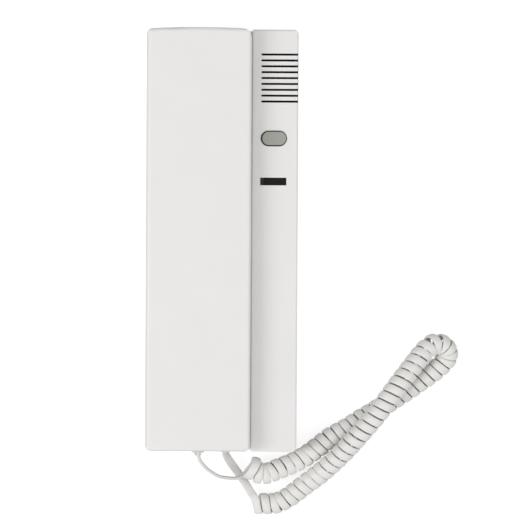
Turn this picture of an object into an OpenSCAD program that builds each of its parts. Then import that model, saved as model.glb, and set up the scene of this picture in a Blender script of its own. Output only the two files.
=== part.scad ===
// Wall intercom with a lift-off handset, lying on its back with its curly cord beside it.
// X runs across the front, Y up the device and Z away from the wall.

/* [Base] */
// Length of the base
base_len = 219.6; // [210:0.2:230]
// Width of the base
base_w = 77.2; // [76:0.2:84]
// Height of the control strip's front above the wall
strip_h = 30; // [29:0.5:34]
// Width of the raised control strip
strip_w = 23.8; // [22.6:0.2:27]
// Height of the cradle floor above the wall
cradle_h = 20; // [19.5:0.5:23]
// Wall thickness of the base cover
base_wall = 2; // [1.6:0.1:2.3]
// Plan radius of the base's corners
base_corner_r = 2.5; // [1.5:0.1:4]
// Fillet of the base's front edges
base_edge_r = 1.2; // [0.6:0.1:1.8]

/* [Wall plate] */
// Thickness of the wall plate
plate_t = 2.5; // [2:0.1:3.5]
// Radius of the wall screw holes
wall_hole_r = 2.25; // [1.75:0.25:3]
// Distance between the wall screw holes
wall_hole_spacing = 120; // [80:5:150]
// Radius of the cable entry
cable_r = 7; // [5:0.5:8]

/* [Handset] */
// Thickness of the handset from its back to its front
handset_t = 23.6; // [22:0.2:28]
// Sideways overhang of the handset past the base
handset_overhang = 1; // [0.4:0.2:3]
// Distance of the handset's bottom end from the base's bottom end
handset_inset = 1.2; // [0.6:0.2:3]
// Rise of the arched top end
handset_arch = 0.8; // [0.6:0.1:2]
// Fillet of the handset's front edges
handset_edge_r = 2.2; // [1.2:0.1:3]
// Fillet of the handset's back edges
handset_back_r = 1.6; // [0.8:0.1:2.4]
// Plan radius of the handset's upper corners
handset_corner_r = 2.4; // [1.8:0.1:5]
// Plan radius of the handset's lower corners
handset_foot_r = 3.4; // [1.8:0.1:5]
// Wall thickness of the handset's shells
handset_wall = 2; // [1.6:0.1:2.4]
// Height of the handset's back shell
back_shell_h = 10; // [9:0.5:12]
// Depth of the finger arch in the handset's back
grip_depth = 6; // [4.5:0.1:7]
// Length of the finger arch
grip_len = 60; // [50:1:66]
// Radius of the ear cup
ear_r = 21; // [20:0.5:23]
// Radius of the mouth cup
mouth_r = 19; // [16:0.5:20]
// Height of the cups under the handset's back
cup_h = 6.5; // [5.5:0.1:7]
// Distance of the ear cup from the top end
ear_from_top = 41; // [38:0.5:44]
// Distance of the mouth cup from the bottom end
mouth_from_bottom = 36; // [34:0.5:38]

/* [Controls] */
// Length of the release button
button_len = 13; // [11:0.1:14]
// Width of the release button
button_w = 7.5; // [7:0.1:9]
// Rise of the release button over the strip
button_rise = 0.8; // [0.4:0.1:1.6]
// Travel of the release button
button_travel = 1.2; // [0.8:0.1:1.5]
// Length of the indicator window
window_len = 13.6; // [9:0.2:14]
// Width of the indicator window
window_w = 4; // [2.5:0.1:5]
// Number of sound slots
slot_count = 9; // [5:1:10]
// Distance from slot to slot
slot_pitch = 3.05; // [2.4:0.05:3.2]
// Height of a sound slot
slot_h = 1.1; // [0.7:0.1:1.5]
// Travel of the hook plunger
hook_travel = 3; // [2:0.1:3.4]

/* [Fits] */
// Gap between the handset and the control strip
handset_gap = 0.3; // [0.3:0.05:1.2]
// Gap between the handset and the cradle floor
rest_gap = 0.4; // [0.3:0.05:0.8]
// Gap between the cups and their pockets
pocket_gap = 0.7; // [0.4:0.1:1]
// Gap around the release button and the hook plunger
slide_gap = 0.35; // [0.25:0.05:0.5]
// Gap around pieces that are fitted together
fit_gap = 0.15; // [0.1:0.05:0.25]

/* [Cord] */
// Width of the flat cord
cord_w = 4; // [3:0.1:4.1]
// Thickness of the flat cord
cord_t = 1.6; // [1.4:0.1:2.4]
// Outer diameter of the curls
coil_d = 11; // [10:0.1:11.4]
// Number of curls
curls = 55; // [40:1:58]

/* [Hidden] */
$fn = 48;

// Overshoot of cuts, sink of moulded bosses into their walls, and facets of shallow arcs
cut = 1;
sink = 0.5;
fine = 720;

// Places up the base, as shares of its length
button_up = 0.2424;
window_up = 0.1406;
board_low = -0.2;
board_high = 0.31;
board_screw_up = 0.187;
hook_up = 0.164;
terminal_up = -0.118;
chip_up = -0.064;
caps_up = [0.018, 0.064];
grip_up = 0.08;

// Plan of the base and of the handset
overall_w = base_w + handset_overhang;
base_x0 = handset_overhang - overall_w / 2;
base_x1 = overall_w / 2;
base_y0 = -base_len / 2;
base_y1 = base_len / 2;
strip_x0 = base_x1 - strip_w;
strip_cx = base_x1 - strip_w / 2;
handset_x0 = -overall_w / 2;
handset_x1 = strip_x0 - handset_gap;
handset_cx = (handset_x0 + handset_x1) / 2;
handset_y0 = base_y0 + handset_inset;
handset_y1 = base_y1;

// Edge and corners of the control strip beside the handset
strip_edge_r = 0.4;
strip_corner_r = 0.8;

// Heights above the wall
cradle_in = cradle_h - base_wall;
strip_in = strip_h - base_wall;
handset_z0 = cradle_h + rest_gap;
handset_z1 = handset_z0 + handset_t;
part_z = handset_z0 + back_shell_h;
cup_z = handset_z0 - cup_h;
pocket_z = cup_z - pocket_gap;
board_z = 8;
board_t = 1.6;
board_top = board_z + board_t;

// Small self-tapping screws
screw_r = 1.4;
pilot_gap = 0.05;
head_r = 2.7;
head_h = 1.5;
boss_r = 3.2;
drive_r = 1.2;
drive_depth = 0.8;

// Wall plate: fixings, cable entry, top hooks and the lug for the cover screw
plate_gap = 0.25;
wall_hole_x = -24;
cable_at = [-24, 0];
hook_tab = [10, 2, 7];
hook_nib = 0.8;
hook_nib_h = 1.5;
hook_tab_x = [-24, 24];
nib_z = plate_t + hook_tab[2] - hook_nib_h;
lug = [9, 5, 8.4];
lug_x = 24;
lug_gap = 0.2;
cover_screw_z = plate_t + 4.6;
cover_screw_len = 6;
screw_seat_t = 1.6;
screw_well_gap = 0.2;
screw_well = head_h + screw_well_gap;
lug_y = base_y0 + base_wall + screw_seat_t + lug_gap;

// Circuit board and the pieces on it
board_side_gap = 1.2;
board_w = 45.9;
board_x1 = base_x1 - base_wall - board_side_gap;
board_x0 = board_x1 - board_w;
board_y0 = board_low * base_len;
board_y1 = board_high * base_len;
board_screw_in = 5;
board_screw_x = [board_x0 + board_screw_in, board_x1 - board_screw_in];
board_screw_y = [board_y0 + board_screw_in, board_screw_up * base_len];
board_screw_len = 7;
terminal_in = 13;
terminal_size = [20, 8.2, 8];
terminal_at = [board_x0 + terminal_in, terminal_up * base_len];
terminal_count = 4;
terminal_pitch = 5;
well_r = 1.9;
well_depth = 5;
wire_mouth = [3, 3];
chip_in = 7.9;
chip_size = [6.4, 19, 3.4];
chip_at = [board_x1 - chip_in, chip_up * base_len];
cap_r = 4;
cap_h = 11.5;

// Sound slots, the cloth behind them, the call speaker and the ring that holds it
slot_from_top = 13;
slot_from_strip = 4.5;
slot_wrap = 7;
slot_y = base_y1 - slot_from_top;
slots_len = slot_pitch * (slot_count - 1);
cloth_t = 0.4;
cloth_margin = 0.6;
speaker_share = 0.34;
speaker_r = speaker_share * strip_w;
speaker_at = [strip_cx - cloth_t / 2, slot_y - slots_len / 2];
speaker_rim_h = 1.2;
speaker_cone_h = 3.4;
magnet_r = 5.5;
magnet_h = 1.8;
seat_wall = 1.1;
retainer_wall = 0.8;
retainer_lip = 1.3;
retainer_lip_t = 1.2;

// Release button, its switch and its spring
button_left = 0.7;
button_at = [strip_cx - button_left, button_up * base_len];
button_edge_r = 0.6;
button_dish = 0.3;
button_lip = 1;
button_flange_t = 0.9;
stop_gap = 0.2;
button_flange_top = strip_in - stop_gap;
button_flange_z = button_flange_top - button_flange_t;
stem_r = 2.5;
stem_gap = 0.3;
switch_size = [8.4, 8.4, 3.5];
switch_top = board_top + switch_size[2];
stem_z = switch_top + button_travel + stem_gap;
plunger_r = 1.75;
switch_floor = 0.3;
plunger_z = board_top + switch_floor + button_travel + stem_gap;
spring_gap = 0.15;
spring_wire = 0.7;
spring_room = 1.2;
button_spring_r = stem_r + spring_room;

// Indicator window and lamp
window_left = 0.9;
window_at = [strip_cx - window_left, window_up * base_len];
window_recess = 0.4;
window_lip = 1;
window_lip_t = 1;
led_r = 2.5;
led_body_h = 4;
led_rim = 0.4;
led_rim_h = 1;
led_gap = 0.4;
led_top = strip_in - window_lip_t - led_gap;
led_z = led_top - led_r - led_body_h;
spacer_r = led_r + led_rim;
spacer_bore_r = 1;

// Hook plunger, its switch and its spring
hook_in = 14;
hook_at = [board_x0 + hook_in, hook_up * base_len];
hook_r = 2.6;
hook_tip_gap = 0.3;
hook_flange_r = 4.5;
hook_flange_t = 1.2;
hook_flange_top = cradle_in - hook_travel - stop_gap;
hook_flange_z = hook_flange_top - hook_flange_t;
hook_switch_size = [4.6, 4.6, 2.6];
hook_foot_r = 1.6;
hook_foot_z = board_top + hook_switch_size[2] + hook_tip_gap;
hook_spring_r = 4.2;

// Cups of the handset and the pockets that take them
ear_at = [handset_cx, handset_y1 - ear_from_top];
mouth_at = [handset_cx, handset_y0 + mouth_from_bottom];
cup_edge_r = 1.5;
cup_dish = 1.4;
cup_dish_r = 16;
cup_floor = 1.8;
cup_floor_z = cup_z + cup_dish + cup_floor;
sound_hole_r = 1.1;
ear_rings = [[0, 1], [5, 6], [10, 12]];
mouth_rings = [[2.6, 3]];

// Handset insides
earpiece_r = 16;
earpiece_rim_h = 1.4;
earpiece_cone_h = 3.6;
earpiece_magnet_r = 10;
earpiece_magnet_h = 3;
gasket_t = 0.8;
gasket_w = 2.5;
rib_t = 1.3;
rib_h = 2.6;
mic_r = 4.85;
mic_h = 6;
boot_t = 1.6;
boot_r = mic_r + boot_t;
boot_floor = 0.8;
handset_screw_in = 9;
handset_screw_len = 11;
handset_screw_at = [
  [handset_cx, handset_y0 + handset_screw_in],
  [handset_cx, handset_y1 - handset_arch - handset_screw_in]
];
pillar_r = 4.6;
pillar_h = 6;

// Finger arch between the cups, and the weight between it and the mouth cup
mouth_top = mouth_at[1] + mouth_r;
grip_room = grip_up * base_len;
grip_y = mouth_top + grip_room + grip_len / 2;
weight_size = [36, 12.4, 5];
weight_y = mouth_top + grip_room / 2;

// Groove at the parting line of the handset's shells, and the radius of the arched top end
groove_h = 0.3;
groove_depth = 0.5;
arch_r = arc_radius((handset_x1 - handset_x0) / 2, handset_arch);

// Cord bushes: width and height of nose and neck, reach outside, reach inside
bush_corner_r = 1.8;
bush_lip = 0.8;
bush_inside = 1.5;
handset_bush = [6.5, 7.6];
handset_bush_out = 1;
handset_bush_at = [handset_cx, part_z];
base_bush = [5.8, 7.4];
base_bush_out = 1;
base_bush_left = 13.4;
base_bush_z = 10;
base_bush_at = [strip_x0 - base_bush_left, base_bush_z];
cord_end_gap = 0.3;

// Coil of the cord: axis from the handset's end round the loop to the base's end, measured from the base's
// lower right corner
coil_route = [
  [-23.2, -10.6, 12.6], [-21.4, -12, 12.2], [-19, -13.2, 11.6], [-15.4, -13.4, 10.8], [-11, -11.8, 9.8],
  [-5.2, -9.6, 8.6], [-0.8, -7.8, 7.6], [4.8, -4.8, 6.6], [8.6, -2.2, 6.2], [12, 0.4, 6], [18.8, 5.6, 6],
  [26.4, 9.8, 6], [33.8, 14.6, 6], [41.8, 19.4, 6], [52, 26, 6], [62.6, 33.2, 6], [72.8, 40.6, 6],
  [76.8, 44, 6], [79.4, 47, 6.2], [80.4, 50, 6.8], [79.6, 52.8, 7.6], [77.6, 54.8, 8.4],
  [75.2, 55.6, 9.2], [72.2, 55.4, 10.2], [69.6, 53.6, 11.2], [66.8, 51, 12.2], [64.2, 47.8, 13.4],
  [59, 41.2, 15.4], [54.2, 35, 17], [49, 27.8, 17.8], [43.4, 20, 17.8], [37.4, 12.6, 17], [31.8, 6, 15.8],
  [25.4, -1.4, 13.4], [19, -8, 10.6], [12.6, -14, 8], [5.6, -19.4, 6.6], [-1.2, -24.8, 6], [-5, -27.4, 6],
  [-9.2, -29.4, 6], [-12.6, -30, 6], [-16.8, -30, 6]
];
// Tails from the straight ends at the bushes to the coil, measured from the same corner
handset_tail = [
  [-50, -5.2, 28.4], [-47.4, -8.8, 25.4], [-44.4, -11.6, 22], [-40.6, -14.2, 18.4], [-36.4, -15.4, 15.2],
  [-32, -16, 11.8], [-28.4, -15, 9], [-25.6, -11.6, 7.6], [-22.4, -7.8, 9]
];
base_tail = [
  [-35.6, -6.2, 8.8], [-33.4, -9.6, 7.2], [-31.2, -12.8, 5.4], [-28.8, -16.2, 4.6], [-26.4, -19.6, 6],
  [-23.8, -23.6, 8], [-21.2, -27.6, 9.6]
];
straight_end = 1.7;
end_lead = 0.9;
coil_r = (coil_d - cord_t) / 2;
curl_opening = 0.2;
curl_gap = 1;
least_w = 0.5;
first_curl_flare = 0.18;
flare_turns = 1.5;
curl_rings = 8;
cord_sides = 6;
route_steps = 6;
tail_steps = 2;
start_phase = 270;
end_phase = 300;
least_gap_wanted = 0.4;
// Shares of each tail between which the cord turns from upright to flat
handset_twist = [0.6, 1];
base_twist = [0, 0.5];

// Shapes that repeat

module along_x(x0, x1) {
  translate([x0, 0, 0]) rotate([90, 0, 90]) linear_extrude(x1 - x0) children();
}

module along_y(y0, y1) {
  translate([0, y1, 0]) rotate([90, 0, 0]) linear_extrude(y1 - y0) children();
}

module along_z(z0, z1) {
  translate([0, 0, z0]) linear_extrude(z1 - z0) children();
}

// Rectangle between two corners with all corners round
module round_rect(lo, hi, r) {
  translate([lo[0] + r, lo[1]]) square([hi[0] - lo[0] - 2 * r, hi[1] - lo[1]]);
  translate([lo[0], lo[1] + r]) square([hi[0] - lo[0], hi[1] - lo[1] - 2 * r]);
  for (x = [lo[0] + r, hi[0] - r], y = [lo[1] + r, hi[1] - r])
    translate([x, y]) circle(r);
}

// Rectangle between two corners with its lower and its upper corners round
module end_rect(lo, hi, low_r, high_r) {
  mid = (lo[1] + hi[1]) / 2;
  translate([lo[0] + low_r, lo[1]]) square([hi[0] - lo[0] - 2 * low_r, mid - lo[1]]);
  translate([lo[0] + high_r, mid]) square([hi[0] - lo[0] - 2 * high_r, hi[1] - mid]);
  translate([lo[0], lo[1] + low_r]) square([hi[0] - lo[0], hi[1] - lo[1] - low_r - high_r]);
  for (x = [lo[0] + low_r, hi[0] - low_r])
    translate([x, lo[1] + low_r]) circle(low_r);
  for (x = [lo[0] + high_r, hi[0] - high_r])
    translate([x, hi[1] - high_r]) circle(high_r);
}

// Rectangle between two corners with its upper left and upper right corners round
module dome_rect(lo, hi, left_r, right_r) {
  mid = (lo[0] + hi[0]) / 2;
  translate(lo) square([mid - lo[0], hi[1] - lo[1] - left_r]);
  translate([mid, lo[1]]) square([hi[0] - mid, hi[1] - lo[1] - right_r]);
  translate([lo[0] + left_r, lo[1]]) square([hi[0] - lo[0] - left_r - right_r, hi[1] - lo[1]]);
  translate([lo[0] + left_r, hi[1] - left_r]) circle(left_r);
  translate([hi[0] - right_r, hi[1] - right_r]) circle(right_r);
}

// Slot with round ends, its length along X
module capsule(length, width) {
  run = length - width;
  translate([-run / 2, -width / 2]) square([run, width]);
  for (x = [-run / 2, run / 2])
    translate([x, 0]) circle(width / 2);
}

// Disc profile with a round upper edge, to be turned about Z
module rim_profile(r, z0, z1, edge) {
  translate([0, z0]) square([r, z1 - z0 - edge]);
  translate([0, z0]) square([r - edge, z1 - z0]);
  translate([r - edge, z1 - edge]) circle(edge);
}

// Disc profile with a round lower edge, to be turned about Z
module cup_profile(r, z0, z1, edge) {
  translate([0, z0]) square([r - edge, z1 - z0]);
  translate([0, z0 + edge]) square([r, z1 - z0 - edge]);
  translate([r - edge, z0 + edge]) circle(edge);
}

// Block standing on the wall plane with round plan corners and round front edges
module moulded_block(lo, hi, corner, edge) {
  intersection() {
    along_z(0, hi[2]) round_rect(lo, hi, corner);
    along_y(lo[1], hi[1]) dome_rect([lo[0], 0], [hi[0], hi[2]], edge, edge);
    along_x(lo[0], hi[0]) dome_rect([lo[1], 0], [hi[1], hi[2]], edge, edge);
  }
}

module post(at, z0, z1, r) {
  translate([at[0], at[1], z0]) cylinder(h = z1 - z0, r = r);
}

module ring(at, z0, z1, r_out, r_in) {
  difference() {
    post(at, z0, z1, r_out);
    post(at, z0 - cut, z1 + cut, r_in);
  }
}

module box_on(at, z, size) {
  translate([at[0] - size[0] / 2, at[1] - size[1] / 2, z]) cube(size);
}

// Screw with its head down at z = 0 and its shank along +Z
module screw(length) {
  difference() {
    union() {
      cylinder(h = head_h, r = head_r);
      cylinder(h = head_h + length, r = screw_r);
    }
    translate([0, 0, -cut]) cylinder(h = drive_depth + cut, r = drive_r, $fn = 6);
  }
}

// Bush seen along its cord: nose outside the wall, neck in the wall, lip inside it
module cord_bush(size, wall_y, out, wall, at) {
  translate([at[0], 0, at[1]]) {
    along_y(wall_y - out, wall_y) bush_outline(size, 0);
    along_y(wall_y - sink, wall_y + wall + sink) bush_outline(size, -bush_lip);
    along_y(wall_y + wall, wall_y + wall + bush_inside) bush_outline(size, 0);
  }
}

module bush_outline(size, grow) {
  corner = [size[0] / 2 + grow, size[1] / 2 + grow];
  round_rect(-corner, corner, bush_corner_r);
}

module bush_hole(size, wall_y, wall, at) {
  translate([at[0], 0, at[1]]) along_y(wall_y - cut, wall_y + wall + cut)
    bush_outline(size, fit_gap - bush_lip);
}

function arc_radius(half, rise) = (half * half + rise * rise) / (2 * rise);

function is_on_strip(x) = x > strip_x0;

function cover_inner_z(x) = is_on_strip(x) ? strip_in : cradle_in;

// Base pieces

module plate_outline(inset) {
  round_rect([base_x0 + inset, base_y0 + inset], [base_x1 - inset, base_y1 - inset], base_corner_r / 2);
}

// Cylinder along the cover screw's line
module end_hole(y0, y1, r) {
  translate([lug_x, y0, cover_screw_z]) rotate([-90, 0, 0]) cylinder(h = y1 - y0, r = r);
}

module wall_plate() {
  inset = base_wall + plate_gap;
  tab_y = base_y1 - inset;
  color("gainsboro") difference() {
    union() {
      along_z(0, plate_t) plate_outline(inset);
      for (x = hook_tab_x)
        translate([x - hook_tab[0] / 2, tab_y - hook_tab[1], 0]) {
          cube(hook_tab + [0, 0, plate_t]);
          translate([0, 0, nib_z]) cube([hook_tab[0], hook_tab[1] + hook_nib, hook_nib_h]);
        }
      translate([lug_x - lug[0] / 2, lug_y, 0]) cube(lug + [0, 0, plate_t]);
    }
    for (y = [-wall_hole_spacing / 2, wall_hole_spacing / 2])
      post([wall_hole_x, y], -cut, plate_t + cut, wall_hole_r);
    post(cable_at, -cut, plate_t + cut, cable_r);
    end_hole(lug_y - cut, lug_y + lug[1] + cut, screw_r + pilot_gap);
  }
}

// Control strip: its edge and corners beside the handset are sharper than the others
module strip_body() {
  intersection() {
    along_z(0, strip_h) {
      round_rect([strip_x0, base_y0], [strip_cx + base_corner_r, base_y1], strip_corner_r);
      round_rect([strip_cx - 2 * base_corner_r, base_y0], [base_x1, base_y1], base_corner_r);
    }
    along_y(base_y0, base_y1) dome_rect([strip_x0, 0], [base_x1, strip_h], strip_edge_r, base_edge_r);
    along_x(strip_x0, base_x1) dome_rect([base_y0, 0], [base_y1, strip_h], base_edge_r, base_edge_r);
  }
}

module cover_body() {
  moulded_block([base_x0, base_y0], [strip_cx, base_y1, cradle_h], base_corner_r, base_edge_r);
  strip_body();
}

module cover_cavity() {
  in_r = base_corner_r / 2;
  lo = [base_x0 + base_wall, base_y0 + base_wall];
  hi = [base_x1 - base_wall, base_y1 - base_wall];
  along_z(-cut, cradle_in) round_rect(lo, hi, in_r);
  along_z(-cut, strip_in) round_rect([strip_x0 + base_wall, lo[1]], hi, in_r);
}

module pocket(at, r) {
  post(at, pocket_z, cradle_h + cut, r + pocket_gap);
  translate([at[0], at[1], cradle_h - base_edge_r])
    cylinder(h = base_edge_r + cut, r1 = r + pocket_gap, r2 = r + pocket_gap + base_edge_r + cut);
}

module sound_slots() {
  x0 = strip_x0 + slot_from_strip + slot_h / 2;
  for (i = [0:slot_count - 1])
    translate([x0, slot_y - i * slot_pitch, strip_h - slot_wrap]) {
      cylinder(h = slot_wrap + cut, d = slot_h);
      translate([0, -slot_h / 2, 0]) cube([base_x1 - x0 + cut, slot_h, slot_wrap + cut]);
    }
}

module base_cover() {
  color("whitesmoke") difference() {
    union() {
      difference() {
        cover_body();
        cover_cavity();
      }
      post(ear_at, pocket_z - base_wall, cradle_in + sink, ear_r + pocket_gap + base_wall);
      post(mouth_at, pocket_z - base_wall, cradle_in + sink, mouth_r + pocket_gap + base_wall);
      for (x = board_screw_x, y = board_screw_y)
        post([x, y], board_top, cover_inner_z(x) + sink, boss_r);
      end_hole(base_y0 + sink, base_y0 + base_wall + screw_seat_t, head_r + slide_gap + seat_wall);
    }
    pocket(ear_at, ear_r);
    pocket(mouth_at, mouth_r);
    sound_slots();
    for (x = board_screw_x, y = board_screw_y)
      post([x, y], board_top - cut, board_top + board_screw_len, screw_r + pilot_gap);
    translate([button_at[0], button_at[1], 0]) along_z(strip_in - cut, strip_h + cut)
      capsule(button_len + 2 * slide_gap, button_w + 2 * slide_gap);
    box_on(window_at, strip_in - cut, [window_len, window_w, base_wall + 2 * cut]);
    post(hook_at, cradle_in - cut, cradle_h + cut, hook_r + slide_gap);
    bush_hole(base_bush, base_y0, base_wall, base_bush_at);
    for (x = hook_tab_x)
      translate([x - hook_tab[0] / 2 - fit_gap, base_y1 - base_wall - cut, nib_z - fit_gap])
        cube([hook_tab[0] + 2 * fit_gap, hook_nib - plate_gap + fit_gap + cut, hook_nib_h + 2 * fit_gap]);
    end_hole(base_y0 - cut, base_y0 + base_wall + screw_seat_t + cut, screw_r + fit_gap);
    end_hole(base_y0 - cut, base_y0 + screw_well, head_r + slide_gap);
  }
}

module cover_screw() {
  color("silver") translate([lug_x, base_y0 + screw_well - head_h, cover_screw_z]) rotate([-90, 0, 0])
    screw(cover_screw_len);
}

module circuit_board() {
  color("seagreen") difference() {
    along_z(board_z, board_top) translate([board_x0, board_y0]) square([board_w, board_y1 - board_y0]);
    for (x = board_screw_x, y = board_screw_y)
      post([x, y], board_z - cut, board_top + cut, screw_r + fit_gap);
  }
}

module board_screws() {
  color("silver") for (x = board_screw_x, y = board_screw_y)
    translate([x, y, board_z - head_h]) screw(board_screw_len - cut);
}

module call_speaker() {
  rim_z = strip_in - cloth_t - speaker_rim_h;
  cone_z = rim_z - speaker_cone_h;
  color("dimgray") union() {
    post(speaker_at, rim_z, rim_z + speaker_rim_h, speaker_r);
    translate([speaker_at[0], speaker_at[1], cone_z])
      cylinder(h = speaker_cone_h, r1 = magnet_r, r2 = speaker_r - retainer_lip - fit_gap);
    post(speaker_at, cone_z - magnet_h, cone_z, magnet_r);
  }
}

// Ring round the speaker's rim with a lip under it
module speaker_retainer() {
  top = strip_in - cloth_t;
  lip_top = top - speaker_rim_h;
  color("dimgray") difference() {
    post(speaker_at, lip_top - retainer_lip_t, top, speaker_r + fit_gap + retainer_wall);
    post(speaker_at, lip_top, top + cut, speaker_r + fit_gap);
    post(speaker_at, lip_top - retainer_lip_t - cut, lip_top + cut, speaker_r - retainer_lip);
  }
}

// Cloth behind all the slots, folded down the right wall
module grille_cloth() {
  lo = [strip_x0 + slot_from_strip - cloth_margin, slot_y - slots_len - slot_h / 2 - cloth_margin];
  size = [base_x1 - base_wall - lo[0], slots_len + slot_h + 2 * cloth_margin];
  fold_h = slot_wrap - base_wall + cloth_margin;
  color("black") union() {
    translate([lo[0], lo[1], strip_in - cloth_t]) cube([size[0], size[1], cloth_t]);
    translate([lo[0] + size[0] - cloth_t, lo[1], strip_in - fold_h]) cube([cloth_t, size[1], fold_h]);
  }
}

module button_cap(length, width, z0, z1, edge) {
  run = length - width;
  for (x = [-run / 2, run / 2])
    translate([x, 0, 0]) rotate_extrude() rim_profile(width / 2, z0, z1, edge);
  along_x(-run / 2, run / 2) dome_rect([-width / 2, z0], [width / 2, z1], edge, edge);
}

module release_button() {
  top = strip_h + button_rise;
  dish_r = arc_radius(button_len / 2, button_dish);
  color("darkgray") translate([button_at[0], button_at[1], 0]) {
    difference() {
      button_cap(button_len, button_w, button_flange_z, top, button_edge_r);
      translate([0, 0, top - button_dish]) rotate([90, 0, 0]) translate([0, dish_r, -button_w])
        cylinder(h = 2 * button_w, r = dish_r, $fn = fine);
    }
    along_z(button_flange_z, button_flange_top)
      capsule(button_len + 2 * button_lip, button_w + 2 * button_lip);
    translate([0, 0, stem_z]) cylinder(h = button_flange_z - stem_z + sink, r = stem_r);
  }
}

module button_spring() {
  z0 = switch_top + spring_gap;
  z1 = button_flange_z - spring_gap;
  color("silver") ring(button_at, z0, z1, button_spring_r, button_spring_r - spring_wire);
}

module button_switch() {
  color("dimgray") difference() {
    box_on(button_at, board_top, switch_size);
    post(button_at, board_top + switch_floor, switch_top + cut, plunger_r + fit_gap);
  }
}

module switch_plunger() {
  color("black") post(button_at, plunger_z, stem_z, plunger_r);
}

module indicator_window() {
  pane = [window_len - 2 * fit_gap, window_w - 2 * fit_gap, base_wall + sink - window_recess];
  flange = [window_len + 2 * window_lip, window_w + 2 * window_lip, window_lip_t];
  color("#2a2222") union() {
    box_on(window_at, strip_in - sink, pane);
    box_on(window_at, strip_in - window_lip_t, flange);
  }
}

module indicator_led() {
  color("tomato") union() {
    post(window_at, led_z, led_z + led_rim_h, led_r + led_rim);
    post(window_at, led_z, led_z + led_body_h, led_r);
    translate([window_at[0], window_at[1], led_z + led_body_h]) sphere(led_r);
  }
}

module led_spacer() {
  color("white") ring(window_at, board_top, led_z, spacer_r, spacer_bore_r);
}

module hook_plunger() {
  tip_z = handset_z0 - hook_tip_gap;
  color("whitesmoke") translate([hook_at[0], hook_at[1], 0]) union() {
    translate([0, 0, hook_flange_z]) cylinder(h = tip_z - hook_r - hook_flange_z, r = hook_r);
    translate([0, 0, tip_z - hook_r]) intersection() {
      sphere(hook_r);
      cylinder(h = hook_r, r = hook_r + cut);
    }
    translate([0, 0, hook_flange_z]) cylinder(h = hook_flange_t, r = hook_flange_r);
    translate([0, 0, hook_foot_z]) cylinder(h = hook_flange_z - hook_foot_z + sink, r = hook_foot_r);
  }
}

module hook_spring() {
  z0 = board_top + spring_gap;
  z1 = hook_flange_z - spring_gap;
  color("silver") ring(hook_at, z0, z1, hook_spring_r, hook_spring_r - spring_wire);
}

module hook_switch() {
  color("dimgray") box_on(hook_at, board_top, hook_switch_size);
}

function terminal_x(i) = terminal_at[0] + (i - (terminal_count - 1) / 2) * terminal_pitch;

module terminal_block() {
  top = board_top + terminal_size[2];
  mouth_run = terminal_size[1] / 2 + cut;
  color("royalblue") difference() {
    box_on(terminal_at, board_top, terminal_size);
    for (i = [0:terminal_count - 1]) {
      post([terminal_x(i), terminal_at[1]], top - well_depth, top + cut, well_r);
      translate([terminal_x(i) - wire_mouth[0] / 2, terminal_at[1] - mouth_run, board_top + cut])
        cube([wire_mouth[0], mouth_run, wire_mouth[1]]);
    }
  }
}

module terminal_screws() {
  floor_z = board_top + terminal_size[2] - well_depth;
  top = floor_z + well_depth / 2;
  slit = [2 * well_r, drive_depth, drive_depth + cut];
  color("silver") for (i = [0:terminal_count - 1])
    difference() {
      post([terminal_x(i), terminal_at[1]], floor_z, top, well_r - fit_gap);
      box_on([terminal_x(i), terminal_at[1]], top - drive_depth, slit);
    }
}

module audio_chip() {
  color("#222222") box_on(chip_at, board_top, chip_size);
}

module capacitors() {
  color("midnightblue") for (share = caps_up)
    post([chip_at[0], share * base_len], board_top, board_top + cap_h, cap_r);
}

module base_cord_bush() {
  color("gainsboro") cord_bush(base_bush, base_y0, base_bush_out, base_wall, base_bush_at);
}

// Handset pieces

module handset_plan(inset, top) {
  lo = [handset_x0 + inset, handset_y0 + inset];
  hi = [handset_x1 - inset, top - inset];
  end_rect(lo, hi, handset_foot_r, handset_corner_r);
}

// Half of the handset over z = 0, as thick as its shell, with the arched top end and round outer edges
module handset_half(thick, edge) {
  top = handset_y1 + handset_arch / 2;
  beyond = handset_y1 + 2 * edge + cut;
  intersection() {
    along_z(0, thick) handset_plan(0, top);
    along_x(handset_x0, handset_x1) dome_rect([handset_y0, 0], [beyond, thick], edge, edge);
    along_y(handset_y0, beyond) dome_rect([handset_x0, 0], [handset_x1, thick], edge, edge);
    translate([handset_cx, handset_y1 - arch_r, 0]) rotate_extrude($fn = fine)
      rim_profile(arch_r, 0, thick, edge);
  }
}

module handset_inside(z0, z1) {
  lo = [handset_x0 + handset_wall, handset_y0 + handset_wall];
  hi = [handset_x1 - handset_wall, handset_y1 - handset_arch - handset_wall];
  along_z(z0, z1) round_rect(lo, hi, handset_corner_r / 2);
}

module handset_front_shell() {
  front_in = handset_z1 - handset_wall;
  boss_z = handset_z0 + pillar_h + fit_gap;
  color("whitesmoke") difference() {
    union() {
      difference() {
        translate([0, 0, part_z]) handset_half(handset_z1 - part_z, handset_edge_r);
        handset_inside(part_z - cut, front_in);
      }
      for (at = handset_screw_at)
        post(at, boss_z, front_in + sink, boss_r);
    }
    for (at = handset_screw_at)
      post(at, boss_z - cut, boss_z + handset_screw_len, screw_r + pilot_gap);
    bush_hole(handset_bush, handset_y0, handset_wall, handset_bush_at);
  }
}

module grip_arch(grow) {
  r = arc_radius(grip_len / 2, grip_depth);
  along_x(handset_x0 - cut, handset_x1 + cut)
    translate([grip_y, handset_z0 + grip_depth - r]) circle(r + grow, $fn = fine);
}

module cup(at, r) {
  translate([at[0], at[1], 0]) rotate_extrude()
    cup_profile(r, cup_z, handset_z0 + handset_wall, cup_edge_r);
}

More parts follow.
